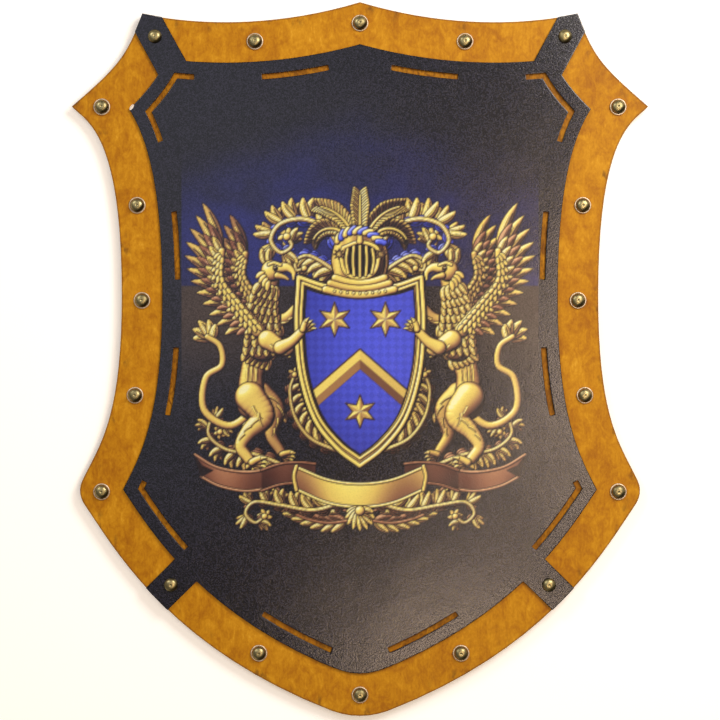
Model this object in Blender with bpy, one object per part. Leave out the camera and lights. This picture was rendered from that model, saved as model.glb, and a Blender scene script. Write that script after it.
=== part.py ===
"""Wall shield: a shield-shaped plywood board, a leather panel laid on it, and nails round the border.

The shield lies on its back: X runs across it, Y from its foot to its peak, Z up out of its face.
The origin is under the middle of the outline, at the board's back.
"""

import math

import bmesh
import bpy
from mathutils import Vector
from mathutils.geometry import interpolate_bezier, intersect_line_line_2d

# Corners of the board's left half: across from the middle line, and up from the middle of the height.
PEAK_Y = 0.2250
CORNER_X, CORNER_Y = -0.1370, 0.2176
SPUR_X, SPUR_Y = -0.1817, 0.1592
WAIST_X, WAIST_Y = -0.1502, 0.0400
SHOULDER_X, SHOULDER_Y = -0.1787, -0.0853
FOOT_Y = -0.2282

# How far the handles of each curved edge reach from the edge's two ends.
TOP_LEAVES, TOP_ARRIVES = (-0.0627, -0.0188), (0.0230, -0.0050)
BROW_LEAVES, BROW_ARRIVES = (-0.0108, -0.0272), (0.0308, 0.0267)
FLANK_LEAVES, FLANK_ARRIVES = (0.0080, -0.0092), (0.0, 0.1054)
HIP_LEAVES, HIP_ARRIVES = (0.0, -0.0890), (0.0100, 0.0277)
KEEL_LEAVES, KEEL_ARRIVES = (0.0173, -0.0195), (-0.1295, 0.0434)
EDGE_STEPS = 20

# Board
BOARD_THICKNESS = 0.0080
SHOULDER_ROUNDING = 0.0157
FOOT_ROUNDING = 0.0500
ROUNDING_STEPS = 6

# Leather panel, and the slots that show the board through it
PANEL_THICKNESS = 0.0016
BORDER_WIDTH = 0.0258
ARM_WIDTH = 0.0195
PANEL_FOOT_ROUNDING = 0.0520
SLOT_WIDTH = 0.0034
SLOT_INSET = 0.0097
TOP_SLOT_FROM_PEAK, TOP_SLOT_LENGTH = 0.0202, 0.0426
CORNER_SLOT_BEFORE, CORNER_SLOT_AFTER = 0.0116, 0.0203
FLANK_SLOT_FROM_SPUR, FLANK_SLOT_LENGTH = 0.0652, 0.0428
HIP_SLOT_FROM_SPUR, HIP_SLOT_LENGTH = 0.1509, 0.0430
SHOULDER_SLOT_BEFORE, SHOULDER_SLOT_AFTER = 0.0051, 0.0472
KEEL_SLOT_FROM_SHOULDER, KEEL_SLOT_LENGTH = 0.1109, 0.0489

# Nails, and the cup washers under those that stand on bare wood
HEAD_RADIUS, HEAD_HEIGHT = 0.0043, 0.0027
SHANK_RADIUS = 0.0011
POINT_LENGTH = 0.0015
WOOD_UNDER_POINT = 0.0025
WASHER_RADIUS, WASHER_BORE, WASHER_THICKNESS = 0.0053, 0.0030, 0.0010
WASHER_CROWN = 0.0006
TURNED_SIDES = 16
HOLE_SIDES = 8
TOP_NAIL_FROM_PEAK = 0.0673
FLANK_NAIL_FROM_SPUR, FLANK_NAIL_PITCH = 0.0669, 0.0600
ARM_NAIL_FROM_SHOULDER = 0.0742
KEEL_NAIL_FROM_SHOULDER = 0.1445

# Pieces that touch are modelled this far apart.
TOUCH_GAP = 0.0003
CUT_OVERRUN = 0.0100
CLOSEST_POINTS = 0.0001
SHARP_TURN = math.radians(15)

BOARD_TOP = BOARD_THICKNESS
PANEL_BOTTOM = BOARD_TOP + TOUCH_GAP
PANEL_TOP = PANEL_BOTTOM + PANEL_THICKNESS
WASHER_BOTTOM = BOARD_TOP + TOUCH_GAP
SEAT_ON_WASHER = WASHER_BOTTOM + WASHER_THICKNESS + TOUCH_GAP
SEAT_ON_PANEL = PANEL_TOP + TOUCH_GAP
SHANK_LENGTH = SEAT_ON_WASHER - WOOD_UNDER_POINT
NAIL_LINE = BORDER_WIDTH / 2
SLOT_LINE = BORDER_WIDTH + SLOT_INSET

PEAK = Vector((0, PEAK_Y))
CORNER = Vector((CORNER_X, CORNER_Y))
SPUR = Vector((SPUR_X, SPUR_Y))
WAIST = Vector((WAIST_X, WAIST_Y))
SHOULDER = Vector((SHOULDER_X, SHOULDER_Y))
FOOT = Vector((0, FOOT_Y))
MIDDLE_LINE = [Vector((0, -1)), Vector((0, 1))]


def curved_edge(start, leaves, arrives, end):
    """The points of one edge of the outline, from its start to its end."""
    handles = start + Vector(leaves), end + Vector(arrives)
    points = interpolate_bezier(start, *handles, end, EDGE_STEPS + 1)
    return [Vector((point.x, point.y)) for point in points]


def outline_edges():
    """The left half as four edges that meet at corners: top, brow, flank and keel."""
    flank = curved_edge(SPUR, FLANK_LEAVES, FLANK_ARRIVES, WAIST)
    hip = curved_edge(WAIST, HIP_LEAVES, HIP_ARRIVES, SHOULDER)
    return [
        curved_edge(PEAK, TOP_LEAVES, TOP_ARRIVES, CORNER),
        curved_edge(CORNER, BROW_LEAVES, BROW_ARRIVES, SPUR),
        flank + hip[1:],
        curved_edge(SHOULDER, KEEL_LEAVES, KEEL_ARRIVES, FOOT),
    ]


def left_of(direction):
    return Vector((-direction.y, direction.x))


def offset(path, distance):
    """The path moved to its left by a distance, with mitred corners."""
    headings = [(b - a).normalized() for a, b in zip(path, path[1:])]
    moved = []
    for i, point in enumerate(path):
        before = left_of(headings[max(i - 1, 0)])
        after = left_of(headings[min(i, len(headings) - 1)])
        mitre = (before + after).normalized()
        moved.append(point + mitre * distance / mitre.dot(after))
    return moved


def trim_to_crossing(first, second):
    """The first path up to where it crosses the second, and the second from there on."""
    for i in range(len(first) - 1, 0, -1):
        for j in range(1, len(second)):
            point = intersect_line_line_2d(first[i - 1], first[i], second[j - 1], second[j])
            if point is not None:
                return first[:i] + [point], [point] + second[j:]
    return first, second


def inset_edges(distance):
    """The four edges of the left half, moved into the board by a distance and trimmed at each corner."""
    edges = outline_edges()
    if distance == 0:
        return edges
    edges = [offset(edge, distance) for edge in edges]
    edges[0] = trim_to_crossing(MIDDLE_LINE, edges[0])[1]
    edges[-1] = trim_to_crossing(edges[-1], MIDDLE_LINE)[0]
    for i in range(len(edges) - 1):
        edges[i], edges[i + 1] = trim_to_crossing(edges[i], edges[i + 1])
    return edges


def joined(edges):
    """Edges that follow each other as one path."""
    path = list(edges[0])
    for edge in edges[1:]:
        path += edge[1:]
    return path


def length_of(path):
    return sum((b - a).length for a, b in zip(path, path[1:]))


def stretch(path, start, end):
    """The part of a path between two distances along it."""
    found, travelled = [], 0.0
    for a, b in zip(path, path[1:]):
        step = (b - a).length
        for distance in (start, end):
            if travelled <= distance < travelled + step:
                found.append(a.lerp(b, (distance - travelled) / step))
        travelled += step
        if start + CLOSEST_POINTS < travelled < end - CLOSEST_POINTS:
            found.append(b)
    return found


def place_on(path, distance):
    """The point at a distance along a path, and the path's heading there."""
    nearby = stretch(path, distance, distance + CLOSEST_POINTS)
    return nearby[0], (nearby[-1] - nearby[0]).normalized()


def mirrored(points):
    return [Vector((-point.x, point.y)) for point in points]


def closed_outline(edges):
    """The left half and its mirror image as one loop."""
    half = joined(edges)
    return half + mirrored(half)[-2:0:-1]


def round_corner(loop, corner, radius):
    """The loop with the corner nearest to a point replaced by an arc."""
    at = min(range(len(loop)), key=lambda i: (loop[i] - corner).length)
    ahead = loop[at:] + loop[:at] + [loop[at]]
    behind = ahead[::-1]
    leaving = (ahead[1] - ahead[0]).normalized()
    arriving = (behind[0] - behind[1]).normalized()
    reach = radius * math.tan(arriving.angle(leaving) / 2)
    end, end_heading = place_on(ahead, reach)
    start, start_heading = place_on(behind, reach)
    turn = end_heading.angle(-start_heading)
    handle = radius * math.tan(turn / 4) * 4 / 3
    handles = start - start_heading * handle, end - end_heading * handle
    arc = interpolate_bezier(start, *handles, end, ROUNDING_STEPS + 1)
    rest = stretch(ahead, reach, length_of(ahead) - reach)
    return [Vector((point.x, point.y)) for point in arc] + rest[1:-1]


def uncrowded(path, spacing):
    """The path without those points that stand closer than a spacing to one of its corners or ends."""
    fixed = [path[0], path[-1]]
    for before, point, after in zip(path, path[1:], path[2:]):
        if (point - before).angle(after - point) > SHARP_TURN:
            fixed.append(point)
    return [p for p in path if p in fixed or min((p - kept).length for kept in fixed) > spacing]


def band(path, width):
    """The loop round a strip of constant width along a path."""
    path = uncrowded(path, width)
    return offset(path, -width / 2) + offset(path, width / 2)[::-1]


def hole_outline(centre, radius):
    """A circle as a polygon that lies outside it."""
    reach = radius / math.cos(math.pi / HOLE_SIDES)
    turns = [2 * math.pi * (i + 0.5) / HOLE_SIDES for i in range(HOLE_SIDES)]
    return [centre + Vector((math.cos(turn), math.sin(turn))) * reach for turn in turns]


def clear_scene():
    for old in list(bpy.data.objects):
        bpy.data.objects.remove(old)


def material(name, colour, roughness, metallic=0.0):
    made = bpy.data.materials.new(name)
    made.use_nodes = True
    shader = made.node_tree.nodes["Principled BSDF"]
    shader.inputs["Base Color"].default_value = (*colour, 1.0)
    shader.inputs["Roughness"].default_value = roughness
    shader.inputs["Metallic"].default_value = metallic
    return made


def add_object(name, mesh, parent, finish=None):
    made = bpy.data.objects.new(name, mesh)
    bpy.context.scene.collection.objects.link(made)
    made.parent = parent
    if finish is not None and not mesh.materials:
        mesh.materials.append(finish)
    return made


def prisms(name, loops, bottoms, top, parent, finish=None):
    """One object made of upright prisms, each on its own loop and down to its own bottom."""
    shape = bmesh.new()
    for loop, bottom in zip(loops, bottoms):
        base = shape.faces.new([shape.verts.new((*point, bottom)) for point in loop])
        raised = bmesh.ops.extrude_face_region(shape, geom=[base])["geom"]
        lifted = [item for item in raised if isinstance(item, bmesh.types.BMVert)]
        bmesh.ops.translate(shape, verts=lifted, vec=(0, 0, top - bottom))
    bmesh.ops.recalc_face_normals(shape, faces=shape.faces)
    mesh = bpy.data.meshes.new(name)
    shape.to_mesh(mesh)
    shape.free()
    return add_object(name, mesh, parent, finish)


def cutter(name, loops, bottoms, top, parent):
    """Prisms that only cut other objects."""
    made = prisms(name, loops, bottoms, top, parent)
    made.hide_render = True
    made.display_type = "WIRE"
    return made


def combine(target, other, operation):
    """Adds a Boolean of another object to a target."""
    step = target.modifiers.new(other.name, "BOOLEAN")
    step.operation = operation
    step.object = other


def turned_mesh(name, profile, finish):
    """A round mesh from its outer profile, given as (radius, height) from the top down."""
    shape = bmesh.new()
    points = [shape.verts.new((radius, 0, height)) for radius, height in profile]
    lines = [shape.edges.new(pair) for pair in zip(points, points[1:])]
    bmesh.ops.spin(
        shape, geom=points + lines, axis=(0, 0, 1), cent=(0, 0, 0),
        angle=2 * math.pi, steps=TURNED_SIDES,
    )
    bmesh.ops.remove_doubles(shape, verts=shape.verts, dist=CLOSEST_POINTS)
    bmesh.ops.recalc_face_normals(shape, faces=shape.faces)
    mesh = bpy.data.meshes.new(name)
    shape.to_mesh(mesh)
    shape.free()
    mesh.shade_smooth()
    mesh.set_sharp_from_angle(angle=math.radians(40))
    mesh.materials.append(finish)
    return mesh


def nail_mesh(finish):
    """A nail with its head's underside at height 0: a domed head, a straight shank and a point."""
    dome = [(HEAD_RADIUS * math.sin(turn), HEAD_HEIGHT * math.cos(turn))
            for turn in (0.0, math.radians(26), math.radians(54), math.radians(90))]
    shank = [
        (SHANK_RADIUS, 0.0),
        (SHANK_RADIUS, POINT_LENGTH - SHANK_LENGTH),
        (0.0, -SHANK_LENGTH),
    ]
    return turned_mesh("nail", dome + shank, finish)


def washer_mesh(finish):
    """A cup washer with its underside at height 0, crowned between its bore and its rim."""
    middle = (WASHER_RADIUS + WASHER_BORE) / 2
    crown = WASHER_THICKNESS
    shoulder = WASHER_THICKNESS - WASHER_CROWN
    profile = [(WASHER_BORE, crown), (middle, crown), (WASHER_RADIUS, shoulder)]
    profile += [(WASHER_RADIUS, 0.0), (WASHER_BORE, 0.0), (WASHER_BORE, crown)]
    return turned_mesh("washer", profile, finish)


def across_border(panel_corner, board_corner):
    """The middle of the border between a corner of the panel and the board's rounded corner."""
    tip = min(board_outline(), key=lambda point: (point - board_corner).length)
    return panel_corner.lerp(tip, 0.5)


def nail_places():
    """Where the nails of the left half and of the middle line stand, by name."""
    top, brow, flank, keel = inset_edges(NAIL_LINE)
    panel_shoulder = inset_edges(BORDER_WIDTH)[3][0]
    panel_foot = min(panel_outline(), key=lambda point: point.y)
    places = {
        "peak": top[0],
        "top": place_on(top, TOP_NAIL_FROM_PEAK)[0],
        "corner": brow[0],
        "spur": flank[0],
        "shoulder": across_border(panel_shoulder, SHOULDER),
        "arm": place_on(keel, ARM_NAIL_FROM_SHOULDER)[0],
        "keel": place_on(keel, KEEL_NAIL_FROM_SHOULDER)[0],
        "foot": across_border(panel_foot, FOOT),
    }
    for i, level in enumerate(("upper", "middle", "lower")):
        distance = FLANK_NAIL_FROM_SPUR + i * FLANK_NAIL_PITCH
        places[f"flank_{level}"] = place_on(flank, distance)[0]
    return places


def both_sides(places):
    """The same places on both halves, with the side in each name off the middle line."""
    found = {}
    for name, place in places.items():
        if abs(place.x) < TOUCH_GAP:
            found[name] = place
        else:
            found[f"{name}_left"] = place
            found[f"{name}_right"] = mirrored([place])[0]
    return found


def arm_loops():
    """The four strips that run from the panel across the border."""
    outer_corner = inset_edges(0)[1][0]
    inner_corner = inset_edges(BORDER_WIDTH)[1][0]
    keel = inset_edges(NAIL_LINE)[3]
    nail, heading = place_on(keel, ARM_NAIL_FROM_SHOULDER)
    outward = (outer_corner - inner_corner).normalized()
    upper = [inner_corner - outward * ARM_WIDTH, outer_corner + outward * ARM_WIDTH]
    across = left_of(heading) * (NAIL_LINE + ARM_WIDTH)
    lower = [nail - across, nail + across]
    left = [band(upper, ARM_WIDTH), band(lower, ARM_WIDTH)]
    return left + [mirrored(loop)[::-1] for loop in left]


def slot_loops():
    """The slots of both halves, all on one line inside the panel's edge."""
    top, brow, flank, keel = inset_edges(SLOT_LINE)
    path = joined([top, brow, flank, keel])
    corner = length_of(top)
    spur = corner + length_of(brow)
    shoulder = spur + length_of(flank)
    spans = [
        (TOP_SLOT_FROM_PEAK, TOP_SLOT_FROM_PEAK + TOP_SLOT_LENGTH),
        (corner - CORNER_SLOT_BEFORE, spur + CORNER_SLOT_AFTER),
        (spur + FLANK_SLOT_FROM_SPUR, spur + FLANK_SLOT_FROM_SPUR + FLANK_SLOT_LENGTH),
        (spur + HIP_SLOT_FROM_SPUR, spur + HIP_SLOT_FROM_SPUR + HIP_SLOT_LENGTH),
        (shoulder - SHOULDER_SLOT_BEFORE, shoulder + SHOULDER_SLOT_AFTER),
        (shoulder + KEEL_SLOT_FROM_SHOULDER, shoulder + KEEL_SLOT_FROM_SHOULDER + KEEL_SLOT_LENGTH),
    ]
    left = [band(stretch(path, *span), SLOT_WIDTH) for span in spans]
    return left + [mirrored(loop)[::-1] for loop in left]


def board_outline():
    """The board's outline with its shoulders and its foot rounded."""
    loop = closed_outline(inset_edges(0))
    loop = round_corner(loop, SHOULDER, SHOULDER_ROUNDING)
    loop = round_corner(loop, mirrored([SHOULDER])[0], SHOULDER_ROUNDING)
    return round_corner(loop, FOOT, FOOT_ROUNDING)


def panel_outline():
    """The panel's outline without its arms, a border's width inside the board's."""
    edges = inset_edges(BORDER_WIDTH)
    return round_corner(closed_outline(edges), edges[-1][-1], PANEL_FOOT_ROUNDING)


def build_board(outline, nails, on_panel, frame, finish):
    """The plywood board, with a blind hole under each nail."""
    board = prisms("backing_board", [outline], [0.0], BOARD_TOP, frame, finish)
    radius = SHANK_RADIUS + TOUCH_GAP
    holes = [hole_outline(place, radius) for place in nails.values()]
    seats = [SEAT_ON_PANEL if name in on_panel else SEAT_ON_WASHER for name in nails]
    bottoms = [seat - SHANK_LENGTH - TOUCH_GAP for seat in seats]
    combine(board, cutter("board_holes", holes, bottoms, BOARD_TOP + CUT_OVERRUN, frame), "DIFFERENCE")
    return board


def build_panel(outline, nails, on_panel, frame, finish):
    """The leather panel: a sheet in the board's outline, cut back to the panel and its arms, then slotted."""
    panel = prisms("leather_panel", [outline], [PANEL_BOTTOM], PANEL_TOP, frame, finish)
    below, above = PANEL_BOTTOM - CUT_OVERRUN, PANEL_TOP + CUT_OVERRUN
    kept = cutter("kept_area", [panel_outline()], [below], above, frame)
    for i, loop in enumerate(arm_loops()):
        reach = CUT_OVERRUN / 2
        arm = cutter(f"arm_{i}", [loop], [below + reach], above - reach, frame)
        combine(kept, arm, "UNION")
    combine(panel, kept, "INTERSECT")
    slots = slot_loops()
    combine(panel, cutter("slots", slots, [below] * len(slots), above, frame), "DIFFERENCE")
    radius = SHANK_RADIUS + TOUCH_GAP
    holes = [hole_outline(nails[name], radius) for name in on_panel]
    combine(panel, cutter("panel_holes", holes, [below] * len(holes), above, frame), "DIFFERENCE")
    return panel


def build_nails(nails, on_panel, frame):
    """All nails, and a cup washer under each that stands on wood."""
    nail = nail_mesh(material("antique_brass", (0.24, 0.17, 0.07), 0.38, 1.0))
    washer = washer_mesh(material("bright_brass", (0.80, 0.60, 0.42), 0.25, 1.0))
    for name, place in nails.items():
        seat = SEAT_ON_PANEL if name in on_panel else SEAT_ON_WASHER
        add_object(f"nail_{name}", nail, frame).location = (*place, seat)
        if name not in on_panel:
            add_object(f"washer_{name}", washer, frame).location = (*place, WASHER_BOTTOM)


def build_shield():
    clear_scene()
    outline = board_outline()
    heights = [point.y for point in outline]
    frame = add_object("shield", None, None)
    frame.location.y = -(min(heights) + max(heights)) / 2
    nails = both_sides(nail_places())
    on_panel = [name for name in nails if name.startswith(("corner", "arm"))]
    wood = material("stained_plywood", (0.56, 0.23, 0.02), 0.5)
    leather = material("printed_leather", (0.025, 0.026, 0.038), 0.55)
    build_board(outline, nails, on_panel, frame, wood)
    build_panel(outline, nails, on_panel, frame, leather)
    build_nails(nails, on_panel, frame)


build_shield()
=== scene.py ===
"""A wall shield laid on its back and looked at from straight above.

Everything is in metres: X runs across the shield, Y up to its peak, Z out of its face.
"""

import math

import bpy
import numpy as np
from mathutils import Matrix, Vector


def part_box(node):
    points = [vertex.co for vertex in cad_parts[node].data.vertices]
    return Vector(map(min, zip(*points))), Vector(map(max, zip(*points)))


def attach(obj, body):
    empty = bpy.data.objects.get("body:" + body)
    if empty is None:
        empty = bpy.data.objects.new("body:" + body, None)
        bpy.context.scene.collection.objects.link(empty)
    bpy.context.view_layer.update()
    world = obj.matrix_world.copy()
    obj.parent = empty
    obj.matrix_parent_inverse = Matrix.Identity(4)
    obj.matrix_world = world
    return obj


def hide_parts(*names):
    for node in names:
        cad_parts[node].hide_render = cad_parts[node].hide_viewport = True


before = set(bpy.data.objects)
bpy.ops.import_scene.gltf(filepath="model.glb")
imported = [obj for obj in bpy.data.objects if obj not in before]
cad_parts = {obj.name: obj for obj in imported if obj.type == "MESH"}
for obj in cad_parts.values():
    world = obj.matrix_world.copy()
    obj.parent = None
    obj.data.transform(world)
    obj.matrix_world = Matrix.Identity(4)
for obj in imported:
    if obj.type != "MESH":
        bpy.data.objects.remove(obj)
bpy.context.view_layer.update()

# The studio: a glowing white sweep under the shield and a camera straight above it. Soft lights stand at the
# upper right and the upper left, and three small warm lamps lay a sheen on the leather's right side and foot.
FACE_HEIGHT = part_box("backing_board")[1].z
CAMERA_RISE = 1.10
CAMERA_SHIFT_DOWN = 0.0006
VIEW_WIDTH = 0.4538
SENSOR = 36.0
FLOOR_SIZE = 6.0
FLOOR_GAP = 0.0002
FLOOR_GLOW = 0.36
ROOM_LIGHT = 0.14


def area_light(name, place, target, size, watts, colour):
    """A square light box that faces a target."""
    bpy.ops.object.light_add(type="AREA", location=place)
    light = bpy.context.object
    light.name = name
    light.data.shape = "SQUARE"
    light.data.size = size
    light.data.energy = watts
    light.data.color = colour
    aim = Vector(target) - Vector(place)
    light.rotation_euler = aim.to_track_quat("-Z", "Y").to_euler()


bpy.ops.object.select_all(action="DESELECT")
bpy.ops.object.camera_add(location=(0, -CAMERA_SHIFT_DOWN, FACE_HEIGHT + CAMERA_RISE), rotation=(0, 0, 0))
camera = bpy.context.object
camera.data.sensor_width = SENSOR
camera.data.lens = SENSOR * CAMERA_RISE / VIEW_WIDTH
bpy.context.scene.camera = camera
bpy.context.scene.view_settings.view_transform = "Standard"

area_light("key_light", (0.50, 0.50, 0.80), (0.05, 0.05, 0), 0.40, 6.8, (1.0, 0.97, 0.93))
area_light("fill_light", (-1.15, 1.05, 1.40), (0, 0, 0), 0.60, 9.0, (0.95, 0.975, 1.0))
area_light("cool_light", (-0.36, 0.28, 1.30), (0, 0, 0), 0.80, 1.5, (0.72, 0.80, 1.0))
area_light("upper_sheen", (0.38, 0.11, 1.20), (0.05, 0, 0), 0.24, 1.3, (1.0, 0.79, 0.61))
area_light("lower_sheen", (0.35, -0.11, 1.20), (0.05, 0, 0), 0.20, 1.4, (1.0, 0.79, 0.60))
area_light("foot_sheen", (0.14, -0.43, 1.20), (0.05, -0.10, 0), 0.20, 1.7, (1.0, 0.78, 0.58))

world = bpy.data.worlds.new("studio")
world.use_nodes = True
surround = world.node_tree.nodes["Background"].inputs
surround["Color"].default_value = (1.0, 0.985, 0.965, 1.0)
surround["Strength"].default_value = ROOM_LIGHT
bpy.context.scene.world = world

bpy.ops.mesh.primitive_plane_add(size=FLOOR_SIZE, location=(0, 0, -FLOOR_GAP))
floor = bpy.context.object
floor.name = "floor"
floor_paint = bpy.data.materials.new("floor_paint")
floor_paint.use_nodes = True
sweep = floor_paint.node_tree.nodes["Principled BSDF"].inputs
sweep["Base Color"].default_value = (1.0, 0.995, 0.985, 1.0)
sweep["Roughness"].default_value = 0.9
sweep["Emission Color"].default_value = (1.0, 0.80, 0.58, 1.0)
sweep["Emission Strength"].default_value = FLOOR_GLOW
floor.data.materials.append(floor_paint)


# The board: one sheet of birch plywood, cut to shape by laser, stained orange-brown and rubbed, so that the
# stain lies in blotches. The cut has charred its sides and left a scorched line along the rim.
BOARD_EDGE_ROUNDING = 0.00025
RIM_RINGS = (0.0005, 0.0009)
FACE_MESH = 0.005
NAIL_HOLE_RADIUS = 0.0014
NAIL_HOLE_FLOOR = 0.0023
NAIL_HOLE_SIDES = 16
MERGE_DISTANCE = 0.00001
STILL_FLAT = math.radians(0.5)
LEVEL = 0.99
CRISP_EDGE = math.radians(40)
PLY_COUNT = 5
SLOTS_FROM_RIM = (0.0290, 0.0320)
CHIP_PLACE = (-0.1438, 0.1586)
CHIP_HALF_SIZE = (0.0011, 0.0022)
CHIP_LEAN = math.radians(34)
CHIP_COLOUR = (0.93, 0.80, 0.66)
STAIN = (
    (0.0, (0.360, 0.113, 0.0015)),
    (0.30, (0.465, 0.170, 0.0020)),
    (0.55, (0.565, 0.229, 0.0034)),
    (0.80, (0.670, 0.293, 0.0085)),
    (1.0, (0.790, 0.395, 0.0300)),
)
GRIME = (0.11, 0.040, 0.006)
SCORCH = (0.17, 0.055, 0.006)
# The colour of the wood seen in the slots: partly laser smoke, partly painted shade of the recessed floors.
SMOKE_AND_SHADE = (0.20, 0.065, 0.001)
CHARRED_PLIES = (0.028, 0.012, 0.006), (0.095, 0.042, 0.018)
CHARRED_GLUE = (0.012, 0.006, 0.004)
BARE_BIRCH = (0.50, 0.33, 0.17), (0.66, 0.48, 0.28)


class Value:
    """A shader socket that adds, scales and compares like a number."""

    def __init__(self, finish, socket):
        self.finish = finish
        self.socket = socket

    def do(self, operation, *others):
        return self.finish.add("ShaderNodeMath", (self, *others), operation=operation)

    def __add__(self, other):
        return self.do("ADD", other)

    def __sub__(self, other):
        return self.do("SUBTRACT", other)

    def __mul__(self, other):
        return self.do("MULTIPLY", other)

    def __truediv__(self, other):
        return self.do("DIVIDE", other)

    def __rsub__(self, other):
        return self * -1 + other

    def __rtruediv__(self, other):
        return self.finish.add("ShaderNodeMath", (other, self), operation="DIVIDE")

    __radd__ = __add__
    __rmul__ = __mul__

    def band(self, low, high):
        """0 below low, 1 above high, and a smooth rise between; high may be the lower of the two."""
        settings = {"interpolation_type": "SMOOTHSTEP", "clamp": True}
        return self.finish.add("ShaderNodeMapRange", (self, low, high, 0.0, 1.0), **settings)


class Finish:
    """A Principled material whose varying inputs are fed by nodes."""

    def __init__(self, name, **plain):
        self.material = bpy.data.materials.new(name)
        self.material.use_nodes = True
        self.tree = self.material.node_tree
        self.shader = self.tree.nodes["Principled BSDF"]
        for key, value in plain.items():
            self.shader.inputs[key.replace("_", " ")].default_value = value

    def put(self, socket, value):
        if isinstance(value, Value):
            self.tree.links.new(value.socket, socket)
        elif socket.type == "RGBA":
            socket.default_value = (*value, 1.0)
        else:
            socket.default_value = value

    def add(self, kind, inputs=(), output=0, stops=None, **settings):
        """A new node with its settings and inputs, by name or in order, and the socket it gives."""
        node = self.tree.nodes.new(kind)
        for key, value in settings.items():
            setattr(node, key, value)
        if stops:
            ramp = node.color_ramp.elements
            while len(ramp) < len(stops):
                ramp.new(1.0)
            for element, (position, colour) in zip(ramp, stops):
                element.position = position
                element.color = (*colour, 1.0)
        pairs = inputs.items() if isinstance(inputs, dict) else enumerate(inputs)
        for key, value in pairs:
            self.put(node.inputs[key], value)
        return Value(self, node.outputs[output])

    def own_place(self):
        """The piece's own coordinates."""
        return self.add("ShaderNodeTexCoord", output="Object")

    def axis(self, number, of=None):
        """One coordinate of a vector, or of the piece's own place."""
        return self.add("ShaderNodeSeparateXYZ", (of or self.own_place(),), output=number)

    def noise(self, size, detail=3.0, stretch=(1, 1, 1), turn=0.0, seed=0.0, roughness=0.55, distortion=0.0):
        """Noise from 0 to 1 with features of about one size, in metres, stretched along the axes."""
        mapping = {
            "Vector": self.own_place(),
            "Scale": tuple(1 / (size * s) for s in stretch),
            "Rotation": (0.0, 0.0, turn),
            "Location": (seed, seed * 0.7, seed * 0.3),
        }
        where = self.add("ShaderNodeMapping", mapping)
        look = {"Detail": detail, "Roughness": roughness, "Distortion": distortion}
        return self.add("ShaderNodeTexNoise", {"Vector": where, "Scale": 1.0, **look})

    def attribute(self, name, output="Fac"):
        return self.add("ShaderNodeAttribute", output=output, attribute_name=name)

    def mix(self, share, first, second):
        """Two colours mixed by a share."""
        settings = {"data_type": "RGBA", "clamp_factor": True}
        return self.add("ShaderNodeMix", {0: share, 6: first, 7: second}, output=2, **settings)

    def bump(self, height, depth, strength):
        """A normal bumped by a height from 0 to 1, depth metres deep."""
        return self.add("ShaderNodeBump", {"Height": height, "Distance": depth, "Strength": strength})

    def feed(self, **inputs):
        for key, value in inputs.items():
            self.put(self.shader.inputs[key.replace("_", " ")], value)


def alone(piece):
    """Selects one object only."""
    bpy.ops.object.select_all(action="DESELECT")
    piece.select_set(True)
    bpy.context.view_layer.objects.active = piece


def edit_mode():
    bpy.ops.object.mode_set(mode="EDIT")


def object_mode():
    bpy.ops.object.mode_set(mode="OBJECT")


def take_all():
    bpy.ops.mesh.select_all(action="SELECT")


def copy_of_node(node, name):
    """A free copy of a CAD node with its doubled points merged and its flat faces whole."""
    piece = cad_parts[node].copy()
    piece.data = piece.data.copy()
    piece.name = name
    piece.parent = None
    for key in list(piece.keys()):
        del piece[key]
    piece.data.materials.clear()
    bpy.context.scene.collection.objects.link(piece)
    alone(piece)
    edit_mode()
    take_all()
    bpy.ops.mesh.remove_doubles(threshold=MERGE_DISTANCE)
    bpy.ops.mesh.dissolve_limited(angle_limit=STILL_FLAT)
    object_mode()
    return piece


def pick(piece, kind, chosen):
    """Goes into edit mode with only those faces or edges selected for which chosen is true."""
    edit_mode()
    bpy.ops.mesh.select_mode(type=kind)
    bpy.ops.mesh.select_all(action="DESELECT")
    object_mode()
    for item in piece.data.polygons if kind == "FACE" else piece.data.edges:
        item.select = bool(chosen(item))
    edit_mode()


def heights_of(piece, edge):
    return [piece.data.vertices[end].co.z for end in edge.vertices]


def middle_of(node):
    """The middle of a CAD node, seen from above."""
    low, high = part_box(node)
    return (low.x + high.x) / 2, (low.y + high.y) / 2


def walked(edges):
    """The points of a closed chain of edges, in order."""
    beside = {}
    for a, b in edges:
        beside.setdefault(a, []).append(b)
        beside.setdefault(b, []).append(a)
    start = next(iter(beside))
    path = [start, beside[start][0]]
    while path[-1] != start:
        one, other = beside[path[-1]]
        path.append(other if one == path[-2] else one)
    return path[:-1]


def reach_to(points, loop):
    """How far each point is from a closed loop, seen from above."""
    starts = np.array(loop)
    spans = np.roll(starts, -1, axis=0) - starts
    nearest = np.full(len(points), np.inf)
    for start, span in zip(starts, spans):
        along = np.clip((points - start) @ span / (span @ span), 0, 1)
        nearest = np.minimum(nearest, np.hypot(*(points - start - along[:, None] * span).T))
    return nearest


def write_values(piece, name, values):
    """Keeps one number for each point of a mesh."""
    kept = piece.data.attributes.new(name, "FLOAT", "POINT")
    kept.data.foreach_set("value", np.asarray(values, np.float32))


def chip(finish):
    """1 in the small pale chip where a corner of the leather has torn away with the stain beside it."""
    x = finish.axis(0) - CHIP_PLACE[0]
    y = finish.axis(1) - CHIP_PLACE[1]
    across = (x * math.cos(CHIP_LEAN) - y * math.sin(CHIP_LEAN)) / CHIP_HALF_SIZE[0]
    along = (x * math.sin(CHIP_LEAN) + y * math.cos(CHIP_LEAN)) / CHIP_HALF_SIZE[1]
    return (across * across + along * along).band(1.15, 0.85)


def dress(piece, finish):
    """Gives a piece one finish all over."""
    piece.data.materials.clear()
    piece.data.materials.append(finish.material)


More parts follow.
